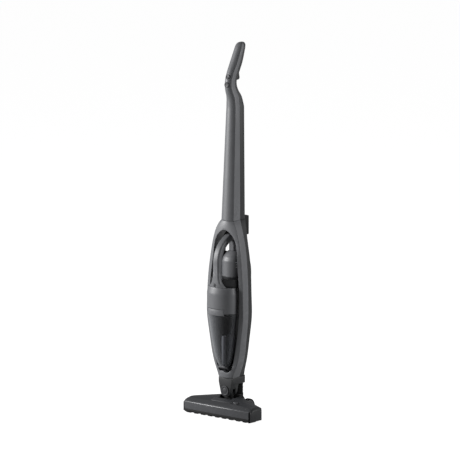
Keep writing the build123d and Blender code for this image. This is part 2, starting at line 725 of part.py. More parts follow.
def eased(levels, steps):
    """The levels with more between them, on smooth curves through the given ones."""
    slopes = []
    for i in range(len(levels)):
        before = levels[max(i - 1, 0)]
        after = levels[min(i + 1, len(levels) - 1)]
        slopes.append([(b - a) / (after.z - before.z) for a, b in zip(before, after)])
    fine = [levels[0]]
    for i in range(len(levels) - 1):
        span = levels[i + 1].z - levels[i].z
        for step in range(1, steps + 1):
            t = step / steps
            fine.append(
                Level(
                    *(
                        (2 * t**3 - 3 * t**2 + 1) * a
                        + (t**3 - 2 * t**2 + t) * span * slope_a
                        + (3 * t**2 - 2 * t**3) * b
                        + (t**3 - t**2) * span * slope_b
                        for a, b, slope_a, slope_b in zip(levels[i], levels[i + 1], slopes[i], slopes[i + 1])
                    )
                )
            )
    return fine


def tube_form(wall):
    """Straight tube, bent grip and rounded tip from one kind of wall section."""
    levels = [TUBE[0], *eased(GRIP, GRIP_STEPS), *TIP]
    return loft([wall(level) for level in levels], ruled=True)


def tube_front():
    return tube_form(front_wall) - button_holes()


def tube_back():
    return tube_form(back_wall) - grip_spur() - rear_bracket()


def round_button(radius):
    """Button along Z, standing proud of the face at Z = 0, with a round rim."""
    button = rod("Z", radius, (-BUTTON_PROUD, BUTTON_DEEP), (0.0, 0.0))
    return fillet(button.edges().group_by(Axis.Z)[0], BUTTON_PROUD - 0.1)


def power_button():
    return in_grip(round_button(POWER_RADIUS), POWER_Y, POWER_Z)


def boost_button():
    return in_grip(round_button(BOOST_RADIUS), BOOST_Y, BOOST_Z, BOOST_LEAN)


def switch_board():
    return block((-8.0, 8.0), (61.2, 62.8), (948.0, 1004.0))


def grip_spur():
    outline = [(72.0, 983.0), (92.0, 984.0), (95.5, 988.0), (92.0, 1008.0), (80.0, 1012.0)]
    return side_plate(outline, (-SPUR_HALF, SPUR_HALF))


def rear_bracket():
    """Block behind the tube joint with an upright socket for a tool."""
    low, high = BRACKET_Z
    chamfered = 2.0
    outline = [
        (BRACKET_ROOT, low + 8.0),
        (BRACKET_ROOT + 16.0, low),
        (REAR_REACH - chamfered, low),
        (REAR_REACH, low + chamfered),
        (REAR_REACH, high - chamfered),
        (REAR_REACH - chamfered, high),
        (BRACKET_ROOT, high),
    ]
    bracket = side_plate(outline, (-BRACKET_HALF, BRACKET_HALF))
    return bracket - rod("Z", BRACKET_BORE, (low - 5.0, high + 5.0), (0.0, BRACKET_BORE_Y))


def collar_form(inset=0.0):
    low, high = COLLAR_Z
    rings = [
        Ring(low - (1.0 if inset else 0.0), COLLAR_X, COLLAR_Y, UNIT_Y),
        Ring(high - 18.0, COLLAR_X, COLLAR_Y, UNIT_Y),
        Ring(high - (3.0 if inset else 0.0), COLLAR_X - 3.0, COLLAR_Y - 3.0, UNIT_Y + 1.0),
    ]
    faces = [Pos(0, ring.middle, ring.z) * Ellipse(ring.wide - inset, ring.deep - inset) for ring in rings]
    return loft(faces, ruled=True)


def latch_form(gap=0.0):
    """Band of the collar's own curve, with an equal gap all round for its recess."""
    inset = CUP_LATCH_THICK + gap
    ring = Ellipse(COLLAR_X, COLLAR_Y) - Ellipse(COLLAR_X - inset, COLLAR_Y - inset)
    low, high = CUP_LATCH_Z
    band = Pos(0, UNIT_Y, low - gap) * extrude(ring, high - low + 2 * gap)
    half = CUP_LATCH_HALF + gap
    return band & block((-half, half), (-20.0, UNIT_Y), (low - gap, high + gap))


def hand_collar():
    return collar_form() - collar_form(COLLAR_WALL) - latch_form(LATCH_GAP)


def housing_form(inset=0.0):
    plan = Pos(0, HOUSING_MID) * Ellipse(HOUSING_X - inset, HOUSING_Y - inset)
    low = COLLAR_Z[1] + PART_GAP
    return Pos(0, 0, low) * extrude(plan, HOUSING_TOP - low)


def hand_housing():
    """Dark ring between the collar and the dome, with exhaust slots in its flanks."""
    ring = housing_form() - housing_form(WALL)
    top = housing_form() & block((-60, 60), (0, 120), (HOUSING_TOP - WALL, HOUSING_TOP))
    ring += top - rod("Z", 14.0, (HOUSING_TOP - WALL, HOUSING_TOP), (0.0, DOME[0].middle))
    for step in range(4):
        low = 389.0 + step * 4.5
        ring -= block((-60, 60), (50.0, 70.0), (low, low + 2.0))
    return ring


def dome_form(inset=0.0):
    """Upright oval whose top slopes up to the back, or its hollow, open below."""
    rings = DOME
    if inset:
        lowered = [ring._replace(z=ring.z - inset) for ring in DOME[1:-1]]
        rings = [DOME[0]._replace(z=HOUSING_TOP - 1.0), *lowered]
    faces = [Pos(0, ring.middle, ring.z) * Ellipse(ring.wide - inset, ring.deep - inset) for ring in rings]
    return loft(faces, ruled=True)


def dome_lights():
    """Three round lights let into the dome's right side."""
    base = DOME[0]
    turn = math.radians(-27.0)
    place = Vector(base.wide * math.cos(turn), base.middle + base.deep * math.sin(turn), 0)
    out = Vector(math.cos(turn) / base.wide, math.sin(turn) / base.deep, 0).normalized()
    lights = []
    for z in (440.0, 447.0, 454.0):
        plane = Plane(origin=place + Vector(0, 0, z) - out * 1.8, z_dir=out)
        lights.append(extrude(plane * Circle(1.6), 2.0))
    return lights


def motor_dome():
    dome = dome_form() - dome_form(DOME_WALL)
    for light in dome_lights():
        dome -= light
    return max(dome.solids(), key=lambda solid: solid.volume)


def handle_foot():
    """Flare from the collar's rim up into the loop, following the rim's front."""
    low = COLLAR_Z[1] + PART_GAP
    sections = []
    for share in (0.0, 0.12, 0.26, 0.45, 0.7, 1.0):
        half = HANDLE_WIDE / 2 + (FOOT_HALF - HANDLE_WIDE / 2) * (1 - share) ** 3
        front = HANDLE_FRONT - HANDLE_DEEP / 2 - 2.0 * (1 - share) ** 2
        rear = HANDLE_FRONT + HANDLE_DEEP / 2
        plan = RectangleRounded(2 * half, rear - front, 6.5)
        sections.append(Pos(0, (front + rear) / 2, low + share * FOOT_RISE) * plan)
    rim = Pos(0, UNIT_Y + 1.0, low) * extrude(Ellipse(COLLAR_X - 3.0, COLLAR_Y - 3.0), FOOT_RISE)
    return loft(sections, ruled=True) & rim


def hand_handle():
    """Loop from the collar up the front, over the top and down into the dome."""
    low_z, high_z = HANDLE_BEND_Z
    points = [
        (0, HANDLE_FRONT, 376.0),
        (0, HANDLE_FRONT, low_z),
        (0, HANDLE_REAR, high_z),
        (0, HANDLE_REAR, 455.0),
    ]
    path = FilletPolyline(*points, radius=[70.0, 16.0])
    start = Plane(origin=points[0], x_dir=(1, 0, 0), z_dir=(0, 0, 1))
    loop = sweep(start * RectangleRounded(HANDLE_WIDE, HANDLE_DEEP, 7.0), path)
    loop = loop + handle_foot() - collar_form() - housing_form() - dome_form()
    loop = max(loop.solids(), key=lambda solid: solid.volume)
    return loop - rod("Y", HAND_BUTTON_RADIUS + BUTTON_FIT, (-20.0, 4.0), (0.0, HAND_BUTTON_Z))


def hand_button():
    button = rod("Y", HAND_BUTTON_RADIUS, (HANDLE_FRONT - HANDLE_DEEP / 2 - 0.8, 2.0), (0.0, HAND_BUTTON_Z))
    return fillet(button.edges().group_by(Axis.Y)[0], 0.7)


def suction_motor():
    can = rod("Z", 24.0, (334.0, 372.0), (0.0, UNIT_Y)) + rod("Z", 28.0, (331.0, 334.0), (0.0, UNIT_Y))
    return can - rod("Z", FAN_SHAFT + RUN_FIT, (330.0, 360.0), (0.0, UNIT_Y))


def fan_shroud():
    ring = rod("Z", IMPELLER_RADIUS + 2.8, FAN_Z, (0.0, UNIT_Y))
    return ring - rod("Z", IMPELLER_RADIUS + 1.0, FAN_Z, (0.0, UNIT_Y))


def impeller():
    """Backplate with straight blades and the motor's shaft."""
    wheel = rod("Z", IMPELLER_RADIUS, (326.0, 328.5), (0.0, UNIT_Y))
    wheel += rod("Z", 7.0, (315.0, 328.0), (0.0, UNIT_Y))
    blade = block((5.0, IMPELLER_RADIUS - 1.0), (-0.8, 0.8), (316.0, 327.0))
    for step in range(IMPELLER_BLADES):
        wheel += Pos(0, UNIT_Y, 0) * Rot(0, 0, step * 360.0 / IMPELLER_BLADES) * blade
    return wheel + rod("Z", FAN_SHAFT, (328.0, 356.0), (0.0, UNIT_Y))


def battery_cells():
    places = [(33.5, 397.0), (52.6, 397.0), (DOME[0].middle, 419.0), (DOME[0].middle, 437.5)]
    return group([rod("X", CELL_RADIUS, (-CELL_HALF, CELL_HALF), place) for place in places])


def control_board():
    return block((-18.0, 18.0), (17.0, 18.6), (387.0, 405.5))


def dust_cup():
    """Smoked cup, open at its rim, with a hole in its floor for the inlet pipe."""
    cup = ellipse_loft(CUP)
    inner = [CUP[0]._replace(z=CUP[0].z + 1.0), *CUP[1:-1], CUP[-1]._replace(z=CUP[-1].z + CUP_WALL)]
    cup -= ellipse_loft(inner, CUP_WALL)
    cup -= latch_form(LATCH_GAP)
    return cup - rod("Z", PIPE_RADIUS, (140.0, 160.0), (0.0, PIPE_Y))


def inlet_pipe():
    pipe = rod("Z", PIPE_RADIUS, (CUP[-1].z - PART_GAP, PIPE_TOP), (0.0, PIPE_Y))
    return pipe - rod("Z", PIPE_RADIUS - 1.2, (140.0, PIPE_TOP), (0.0, PIPE_Y))


def cup_nose():
    """Inlet nose under the cup, with its mouth facing down on the frame's seal."""
    top = CUP[-1].z - PART_GAP
    outline = [(22.0, top), (22.0, 145.0), (45.0, NOSE_LOW), (75.0, NOSE_LOW), (75.0, top)]
    nose = side_plate(outline, (-NOSE_HALF, NOSE_HALF))
    nose = fillet(nose.edges().filter_by(Axis.Z), 6.0)
    nose -= rod("Z", MOUTH_RADIUS, (130.0, 146.0), (0.0, MOUTH_Y))
    nose -= block((-6.0, 6.0), (PIPE_Y - 5.0, MOUTH_Y), (141.0, 147.0))
    return nose - rod("Z", PIPE_RADIUS - 1.2, (144.0, 160.0), (0.0, PIPE_Y))


def filter_frame():
    """Lid that sits in the cup's rim and holds the cartridge."""
    lid = Pos(0, 26.0, 301.0) * extrude(Ellipse(44.0, 29.5), 7.0)
    lid -= Pos(0, 26.0, 301.0) * extrude(Ellipse(24.0, 16.0), 7.0)
    return lid


def filter_cartridge():
    high = Pos(0, 27.0, 300.7) * Ellipse(32.0, 22.0)
    low = Pos(0, 29.0, 246.0) * Ellipse(22.0, 15.0)
    cone = loft([low, high], ruled=True)
    bore_high = Pos(0, 27.0, 300.7) * Ellipse(23.0, 15.0)
    bore_low = Pos(0, 29.0, 252.0) * Ellipse(16.0, 9.5)
    return cone - loft([bore_low, bore_high], ruled=True)


def parts():
    """Every node by name."""
    cap_right, cap_left = mirrored(end_cap())
    hub_right, hub_left = mirrored(wheel_hub())
    tyre_right, tyre_left = mirrored(wheel_tyre())
    return {
        "nozzle_cover": nozzle_cover(),
        "nozzle_sole": nozzle_sole(),
        "front_bar": front_bar(),
        "end_cap_left": cap_left,
        "end_cap_right": cap_right,
        "front_glides": front_glides(),
        "brush_core": brush_core(),
        "brush_bristles": brush_bristles(),
        "brush_pulley": brush_pulley(),
        "brush_bearings": brush_bearings(),
        "brush_motor": brush_motor(),
        "motor_pulley": motor_pulley(),
        "drive_belt": drive_belt(),
        "foot_pedal": foot_pedal(),
        "brush_latch": brush_latch(),
        "wheel_left": hub_left,
        "wheel_right": hub_right,
        "tyre_left": tyre_left,
        "tyre_right": tyre_right,
        "wheel_axles": wheel_axles(),
        "yoke_pins": yoke_pins(),
        "nozzle_screws": group(nozzle_screws()),
        "yoke": yoke(),
        "pivot_pin": pivot_pin(),
        "neck_hose": neck_hose(),
        "neck_shell": neck_shell(),
        "inlet_duct": inlet_duct(),
        "nose_seal": nose_seal(),
        "frame_front": frame_front(),
        "frame_back": frame_back(),
        "rear_cover": rear_cover(),
        "dock_board": dock_board(),
        "frame_screws": group(frame_screws()),
        "dock_contacts": contact_block(),
        "wiring": wire_run(2.5),
        "tube_front": tube_front(),
        "tube_back": tube_back(),
        "switch_board": switch_board(),
        "power_button": power_button(),
        "boost_button": boost_button(),
        "grip_spur": grip_spur(),
        "rear_bracket": rear_bracket(),
        "hand_collar": hand_collar(),
        "hand_housing": hand_housing(),
        "motor_dome": motor_dome(),
        "dome_lights": group(dome_lights()),
        "hand_handle": hand_handle(),
        "hand_button": hand_button(),
        "suction_motor": suction_motor(),
        "fan_shroud": fan_shroud(),
        "impeller": impeller(),
        "battery_cells": battery_cells(),
        "control_board": control_board(),
        "cup_latch": latch_form(),
        "dust_cup": dust_cup(),
        "inlet_pipe": inlet_pipe(),
        "cup_nose": cup_nose(),
        "filter_frame": filter_frame(),
        "filter_cartridge": filter_cartridge(),
    }


def main():
    """Write one STEP file a node, with the origin in the middle of the footprint."""
    os.makedirs("parts", exist_ok=True)
    for name, solid in parts().items():
        export_step(Pos(0, -CENTRE_Y, 0) * solid, f"parts/{name}.step")


if __name__ == "__main__":
    main()
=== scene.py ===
"""Stick vacuum: rounded shells, moulded finishes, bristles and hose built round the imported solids."""

import json
import math

import bmesh
import bpy
from mathutils import Matrix, Vector


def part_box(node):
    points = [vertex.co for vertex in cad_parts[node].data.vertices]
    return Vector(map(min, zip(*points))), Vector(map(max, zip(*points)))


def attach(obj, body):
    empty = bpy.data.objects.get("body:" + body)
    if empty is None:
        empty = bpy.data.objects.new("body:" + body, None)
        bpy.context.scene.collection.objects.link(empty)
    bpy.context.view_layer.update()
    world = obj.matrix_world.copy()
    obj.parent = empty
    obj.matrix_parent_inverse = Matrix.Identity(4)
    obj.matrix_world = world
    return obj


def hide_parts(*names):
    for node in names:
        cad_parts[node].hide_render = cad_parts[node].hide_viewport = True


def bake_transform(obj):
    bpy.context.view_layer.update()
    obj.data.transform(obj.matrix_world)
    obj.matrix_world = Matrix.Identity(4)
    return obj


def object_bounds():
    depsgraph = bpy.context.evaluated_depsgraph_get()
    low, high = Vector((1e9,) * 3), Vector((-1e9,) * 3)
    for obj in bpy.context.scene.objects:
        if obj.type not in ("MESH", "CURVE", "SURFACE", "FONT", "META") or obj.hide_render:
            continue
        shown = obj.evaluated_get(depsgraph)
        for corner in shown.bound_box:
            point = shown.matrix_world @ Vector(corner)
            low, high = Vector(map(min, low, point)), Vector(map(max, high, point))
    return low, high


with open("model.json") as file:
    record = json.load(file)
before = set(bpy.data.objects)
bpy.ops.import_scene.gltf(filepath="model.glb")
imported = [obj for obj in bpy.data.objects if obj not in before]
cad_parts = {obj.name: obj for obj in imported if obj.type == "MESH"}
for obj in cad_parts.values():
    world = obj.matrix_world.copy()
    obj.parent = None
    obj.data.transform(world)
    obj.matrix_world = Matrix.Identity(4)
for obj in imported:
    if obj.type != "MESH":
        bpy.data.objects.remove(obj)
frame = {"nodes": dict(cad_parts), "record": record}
CAD_LOW, CAD_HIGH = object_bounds()

bl_info = {
    "name": "Stick vacuum",
    "version": (1, 0, 0),
    "blender": (4, 5, 0),
    "location": "3D View > Sidebar > Vacuum",
    "description": "Builds the looks of a cordless stick vacuum round its solids",
    "category": "Object",
}

MM = 0.001
WELD = 0.002 * MM
FLAT_ANGLE = math.radians(0.5)
CORNER_ANGLE = math.radians(35)
SHADE_ANGLE = math.radians(32)
BEVEL_SEGMENTS = 2

# The body that each solid rides on
BODY_OF = {node: body for body, nodes in frame["record"]["behaviour"]["bodies"].items() for node in nodes}


def linear(hex_colour):
    """Linear RGB of an sRGB hex colour."""
    channels = [int(hex_colour[i : i + 2], 16) / 255 for i in (1, 3, 5)]
    return [c / 12.92 if c <= 0.04045 else ((c + 0.055) / 1.055) ** 2.4 for c in channels]


def colour_property(title, words, hex_colour):
    """A colour that a user can change, with its default from sRGB hex."""
    return bpy.props.FloatVectorProperty(
        name=title, description=words, subtype="COLOR", size=3, min=0.0, max=1.0, default=linear(hex_colour)
    )


def length_property(title, words, millimetres):
    """A length that a user can change, with its default in millimetres."""
    return bpy.props.FloatProperty(
        name=title, description=words, unit="LENGTH", subtype="DISTANCE", min=0.0, default=millimetres * MM
    )


def angle_property(title, words, degrees):
    """An angle that a user can change, with its default in degrees."""
    return bpy.props.FloatProperty(
        name=title, description=words, unit="ROTATION", subtype="ANGLE", default=math.radians(degrees)
    )


class VacuumColours(bpy.types.PropertyGroup):
    """Colours of the vacuum's plastics and rubbers"""

    shell: colour_property("Shell", "Satin grey of the front shells", "#636467")
    dark: colour_property("Dark shell", "Near black of the back shells, end caps and neck", "#1e1f21")
    charcoal: colour_property("Charcoal", "Nozzle cover, pedal and buttons", "#2c2d30")
    bar: colour_property("Front bar", "Grey of the nozzle's front bar, wheels and cup nose", "#3d3e41")
    black: colour_property("Black", "Sole, yoke and bracket", "#0c0c0d")
    smoke: colour_property("Smoke", "Tint that one face of the dust cup's wall gives", "#d4d5d8")
    pale: colour_property("Pale plastic", "Inlet pipe inside the cup", "#eeefef")
    rubber: colour_property("Rubber", "Tyres, hose and seals", "#080809")
    bristle: colour_property("Bristles", "Nylon of the brush roll", "#2a2b2d")
    light: colour_property("Lights", "Charge lights on the dome", "#e8ecef")


class VacuumSizes(bpy.types.PropertyGroup):
    """Sizes of the details and the camera's place"""

    edge: length_property("Edge radius", "Rounding of the moulded edges", 1.2)
    fine_edge: length_property("Fine edge radius", "Rounding of small pieces", 0.5)
    soft_edge: length_property("Soft edge radius", "Rounding of the large shells as the light sees it", 1.6)
    tuft_spread: length_property("Tuft spread", "Width of one bristle tuft", 2.6)
    rib_depth: length_property("Rib depth", "Depth of the hose's ribs", 2.0)
    tread_depth: length_property("Tread depth", "Depth of the grooves round the tyres", 0.8)
    camera_distance: length_property("Camera distance", "From the vacuum's middle to the camera", 50000)
    field: length_property("Field", "Width of the view at the vacuum", 1328)
    azimuth: angle_property("Azimuth", "Camera's turn round the vacuum", 42.0)
    elevation: angle_property("Elevation", "Camera's height above the horizon", 11.2)


# Materials

# Sockets of the colour mix node, which has several of the same name
MIX_FACTOR, MIX_A, MIX_B, MIX_RESULT = 0, 6, 7, 2
BEVEL_SAMPLES = 6

# Moulded plastics: the tone drifts across a shell and scuffs follow its edges, sizes in millimetres
PLASTIC_IOR = 1.53
DRIFT_SIZE = 45
SCUFF_SIZE = 7
TONE_DRIFT = 0.05
GLOSS_DRIFT = 0.04

# Smoked cup: size of its haze in millimetres, and how fast its mirror grows towards a grazing look
HAZE_SIZE = 18
GRAZING_POWER = 4.0

# Steel and filter paper, sizes in millimetres
TOOL_MARK_DEPTH = 0.02
FIBRE_SIZE = 0.5
FIBRE_DEPTH = 0.1
DUST_SIZE = 14
DUST_TONE = 0.75

FINISHES = {}


def rgba(colour, factor=1.0):
    """Colour with its brightness changed and full alpha."""
    return [min(1.0, c * factor) for c in colour] + [1.0]


def pattern_scale(size):
    """Scale of a pattern whose marks are a size in millimetres across."""
    return 1 / (size * MM)


def add_node(tree, kind, settings, links=()):
    """Adds a node, sets its inputs or attributes by name and links its inputs from other nodes."""
    node = tree.nodes.new(kind)
    for name, value in settings.items():
        if isinstance(name, int) or name in node.inputs:
            node.inputs[name].default_value = value
        else:
            setattr(node, name, value)
    for target, source, output in links:
        tree.links.new(source.outputs[output], node.inputs[target])
    return node


def new_material(name):
    """Empty node material with its output."""
    material = bpy.data.materials.new(name)
    material.use_nodes = True
    tree = material.node_tree
    tree.nodes.clear()
    output = add_node(tree, "ShaderNodeOutputMaterial", {})
    return material, tree, output


def moulded_plastic(name, colour, roughness, specular, grit, depth, rounding=0.8, wear=1.35):
    """Moulded plastic: spark-eroded grit breaks the gloss, the tone drifts and the edges are rubbed.

    Grit, depth and rounding are in millimetres. The real grit is finer than a tenth of one, and is
    drawn coarser so that it shows.
    """
    material, tree, output = new_material(name)
    place = add_node(tree, "ShaderNodeTexCoord", {})
    on_piece = [("Vector", place, "Object")]
    drift = add_node(
        tree, "ShaderNodeTexNoise", {"Scale": pattern_scale(DRIFT_SIZE), "Detail": 3.0}, on_piece
    )
    grain = add_node(tree, "ShaderNodeTexNoise", {"Scale": pattern_scale(grit), "Detail": 2.0}, on_piece)
    scuffs = add_node(
        tree, "ShaderNodeTexNoise", {"Scale": pattern_scale(SCUFF_SIZE), "Detail": 5.0}, on_piece
    )
    tone = add_node(
        tree, "ShaderNodeMapRange", {"From Min": 0.3, "From Max": 0.7}, [("Value", drift, "Fac")]
    )
    base = add_node(
        tree,
        "ShaderNodeMix",
        {"data_type": "RGBA", MIX_A: rgba(colour, 1 - TONE_DRIFT), MIX_B: rgba(colour, 1 + TONE_DRIFT)},
        [(MIX_FACTOR, tone, "Result")],
    )
    shape = add_node(tree, "ShaderNodeNewGeometry", {})
    edges = add_node(
        tree, "ShaderNodeMapRange", {"From Min": 0.505, "From Max": 0.56}, [("Value", shape, "Pointiness")]
    )
    patchy = add_node(
        tree,
        "ShaderNodeMapRange",
        {"From Min": 0.42, "From Max": 0.62, "To Min": 0.25},
        [("Value", scuffs, "Fac")],
    )
    rubbed = add_node(
        tree, "ShaderNodeMath", {"operation": "MULTIPLY"}, [(0, edges, "Result"), (1, patchy, "Result")]
    )
    worn = add_node(
        tree,
        "ShaderNodeMix",
        {"data_type": "RGBA", MIX_B: rgba(colour, wear)},
        [(MIX_FACTOR, rubbed, "Value"), (MIX_A, base, MIX_RESULT)],
    )
    gloss = add_node(
        tree,
        "ShaderNodeMapRange",
        {
            "From Min": 0.3,
            "From Max": 0.7,
            "To Min": roughness - GLOSS_DRIFT,
            "To Max": roughness + GLOSS_DRIFT,
        },
        [("Value", grain, "Fac")],
    )
    corner = add_node(tree, "ShaderNodeBevel", {"samples": BEVEL_SAMPLES, "Radius": rounding * MM})
    bump = add_node(
        tree,
        "ShaderNodeBump",
        {"Strength": 0.35, "Distance": depth * MM},
        [("Height", grain, "Fac"), ("Normal", corner, "Normal")],
    )
    shader = add_node(
        tree,
        "ShaderNodeBsdfPrincipled",
        {"IOR": PLASTIC_IOR, "Specular IOR Level": specular},
        [("Base Color", worn, MIX_RESULT), ("Roughness", gloss, "Result"), ("Normal", bump, "Normal")],
    )
    tree.links.new(shader.outputs["BSDF"], output.inputs["Surface"])
    return material


def smoked_polycarbonate(name, colour, dust_and_reflection_film):
    """Smoked polycarbonate: clear but tinted and polished, with a pale film at a slant that is partly dust
    and partly a painted reflection along the cup's edges.
    """
    material, tree, output = new_material(name)
    place = add_node(tree, "ShaderNodeTexCoord", {})
    on_piece = [("Vector", place, "Object")]
    haze = add_node(
        tree, "ShaderNodeTexNoise", {"Scale": pattern_scale(HAZE_SIZE), "Detail": 4.0}, on_piece
    )
    gloss = add_node(
        tree,
        "ShaderNodeMapRange",
        {"From Min": 0.35, "From Max": 0.75, "To Min": 0.05, "To Max": 0.13},
        [("Value", haze, "Fac")],
    )
    slant = add_node(tree, "ShaderNodeLayerWeight", {})
    grazing = add_node(
        tree, "ShaderNodeMath", {"operation": "POWER", 1: GRAZING_POWER}, [(0, slant, "Facing")]
    )
    mirror = add_node(
        tree, "ShaderNodeMapRange", {"To Min": 0.012, "To Max": 0.9}, [("Value", grazing, "Value")]
    )
    clear = add_node(tree, "ShaderNodeBsdfTransparent", {"Color": rgba(colour)})
    polish = add_node(tree, "ShaderNodeBsdfGlossy", {}, [("Roughness", gloss, "Result")])
    surface = add_node(
        tree,
        "ShaderNodeMixShader",
        {},
        [("Fac", mirror, "Result"), (1, clear, "BSDF"), (2, polish, "BSDF")],
    )
    # Pale diffuse layer at a slant: partly a dust film, partly a painted reflection along the cup's edges
    dust = add_node(tree, "ShaderNodeBsdfDiffuse", {"Color": rgba(dust_and_reflection_film)})
    dust_and_reflection_share = add_node(tree, "ShaderNodeMapRange", {"To Max": 0.8}, [("Value", slant, "Facing")])
    dust_and_reflection_surface = add_node(
        tree,
        "ShaderNodeMixShader",
        {},
        [("Fac", dust_and_reflection_share, "Result"), (1, surface, "Shader"), (2, dust, "BSDF")],
    )
    tree.links.new(dust_and_reflection_surface.outputs["Shader"], output.inputs["Surface"])
    return material


def turned_steel(name, colour, roughness, groove):
    """Turned steel: tool marks run round the piece and streak its highlights.

    The groove is in millimetres. Real tool marks are finer, and are drawn coarser so that they show.
    """
    material, tree, output = new_material(name)
    place = add_node(tree, "ShaderNodeTexCoord", {})
    on_piece = [("Vector", place, "Object")]
    marks = add_node(
        tree,
        "ShaderNodeTexWave",
        {"Scale": pattern_scale(groove), "Distortion": 1.5, "bands_direction": "X"},
        on_piece,
    )
    bump = add_node(
        tree,
        "ShaderNodeBump",
        {"Strength": 0.2, "Distance": TOOL_MARK_DEPTH * MM},
        [("Height", marks, "Fac")],
    )
    shader = add_node(
        tree,
        "ShaderNodeBsdfPrincipled",
        {"Base Color": rgba(colour), "Metallic": 1.0, "Roughness": roughness},
        [("Normal", bump, "Normal")],
    )
    tree.links.new(shader.outputs["BSDF"], output.inputs["Surface"])
    return material


def filter_paper(name, colour):
    """Filter paper: dull, fibrous and black, darker in places from fine dust.

    Real fibres are finer, and are drawn coarser so that they show.
    """
    material, tree, output = new_material(name)
    place = add_node(tree, "ShaderNodeTexCoord", {})
    on_piece = [("Vector", place, "Object")]
    fibres = add_node(
        tree, "ShaderNodeTexNoise", {"Scale": pattern_scale(FIBRE_SIZE), "Detail": 6.0}, on_piece
    )
    dust = add_node(
        tree, "ShaderNodeTexNoise", {"Scale": pattern_scale(DUST_SIZE), "Detail": 3.0}, on_piece
    )
    dusty = add_node(
        tree, "ShaderNodeMapRange", {"From Min": 0.4, "From Max": 0.7}, [("Value", dust, "Fac")]
    )
    base = add_node(
        tree,
        "ShaderNodeMix",
        {"data_type": "RGBA", MIX_A: rgba(colour), MIX_B: rgba(colour, DUST_TONE)},
        [(MIX_FACTOR, dusty, "Result")],
    )
    bump = add_node(
        tree, "ShaderNodeBump", {"Strength": 0.5, "Distance": FIBRE_DEPTH * MM}, [("Height", fibres, "Fac")]
    )
    shader = add_node(
        tree,
        "ShaderNodeBsdfPrincipled",
        {"Roughness": 0.9, "Specular IOR Level": 0.2},
        [("Base Color", base, MIX_RESULT), ("Normal", bump, "Normal")],
    )
    tree.links.new(shader.outputs["BSDF"], output.inputs["Surface"])
    return material


def shell_finishes(colours, soft):
    """Finishes of the shells that show, with the large shells' edge rounding in millimetres."""
    return {
        # Satin ABS: an even, soft sheen, with the large edges rolled over
        "shell": moulded_plastic(
            "satin_abs_grey",
            colours.shell,
            roughness=0.46,
            specular=0.45,
            grit=0.7,
            depth=0.05,
            rounding=soft,
        ),
        "dark": moulded_plastic(
            "satin_abs_dark",
            colours.dark,
            roughness=0.5,
            specular=0.4,
            grit=0.8,
            depth=0.06,
            rounding=soft,
        ),
        # Smoother ABS: a bright line of light along the bar's top edge
        "bar": moulded_plastic(
            "satin_abs_bar",
            colours.bar,
            roughness=0.33,
            specular=0.5,
            grit=0.7,
            depth=0.04,
            rounding=soft,
        ),
        # Textured ABS: duller, so that the nozzle's top stays quiet
        "charcoal": moulded_plastic(
            "textured_abs_charcoal", colours.charcoal, roughness=0.5, specular=0.4, grit=0.6, depth=0.06
        ),
        # Polypropylene: waxy and nearly without shine
        "black": moulded_plastic(
            "polypropylene_black", colours.black, roughness=0.6, specular=0.22, grit=0.9, depth=0.06
        ),
        # Pale ABS: plain and bright behind the smoked wall
        "pale": moulded_plastic(
            "abs_pale", colours.pale, roughness=0.45, specular=0.4, grit=0.8, depth=0.04
        ),
        # Rubber: matt, and paler where it rubs
        "rubber": moulded_plastic(
            "moulded_rubber",
            colours.rubber,
            roughness=0.75,
            specular=0.15,
            grit=0.5,
            depth=0.08,
            wear=1.8,
        ),
        # Drawn nylon: smooth, with a thin line of light on each tuft
        "bristle": moulded_plastic(
            "nylon_bristle",
            colours.bristle,
            roughness=0.4,
            specular=0.4,
            grit=0.4,
            depth=0.02,
            rounding=0.1,
        ),
        # Diffusing acrylic: milky and smooth, with no wear
        "lamp": moulded_plastic(
            "diffusing_acrylic",
            colours.light,
            roughness=0.3,
            specular=0.5,
            grit=0.6,
            depth=0.01,
            rounding=0.3,
            wear=1.0,
        ),
        # Smoked polycarbonate: its pale film at a slant is partly dust and partly a painted reflection
        "smoke": smoked_polycarbonate("smoked_polycarbonate", colours.smoke, dust_and_reflection_film=linear("#8d8f92")),
    }


def inside_finishes():
    """Finishes of the pieces inside the shells."""
    return {
        # Laminate: green lacquer with a low gloss
        "board": moulded_plastic(
            "circuit_board_laminate",
            linear("#1d4a33"),
            roughness=0.4,
            specular=0.5,
            grit=0.9,
            depth=0.03,
            rounding=0.2,
        ),
        # Shrink wrap: a thin glossy film drawn tight over the cells
        "wrap": moulded_plastic(
            "cell_shrink_wrap",
            linear("#2f6a93"),
            roughness=0.35,
            specular=0.5,
            grit=0.7,
            depth=0.02,
            rounding=0.5,
        ),
        "steel": turned_steel("turned_steel", linear("#b8babd"), roughness=0.32, groove=0.6),
        "can": turned_steel("drawn_steel_can", linear("#9a9c9f"), roughness=0.38, groove=0.8),
        "paper": filter_paper("pleated_filter_paper", linear("#2c2c2d")),
    }


# Shapes


def new_piece(name, bm, finish, node, riding=True):
    """Turns a bmesh into a smooth-shaded piece that stands for a node and rides on its body."""
    mesh = bpy.data.meshes.new(name)
    for face in bm.faces:
        face.smooth = True
    bm.to_mesh(mesh)
    bm.free()
    mesh.set_sharp_from_angle(angle=SHADE_ANGLE)
    mesh.materials.append(FINISHES[finish])
    piece = bpy.data.objects.new(name, mesh)
    bpy.context.scene.collection.objects.link(piece)
    if riding:
        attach(piece, BODY_OF[node])
    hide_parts(node)
    return piece


def welded(node):
    """Copy of a solid's mesh with its loose triangles merged into whole flat faces."""
    bm = bmesh.new()
    bm.from_mesh(frame["nodes"][node].data)
    bmesh.ops.remove_doubles(bm, verts=bm.verts, dist=WELD)
    bmesh.ops.dissolve_limit(bm, angle_limit=FLAT_ANGLE, verts=bm.verts, edges=bm.edges)
    return bm


def outer_corner(edge):
    """Whether an edge is an outward corner that is sharp enough to round."""
    return len(edge.link_faces) == 2 and edge.is_convex and edge.calc_face_angle() > CORNER_ANGLE


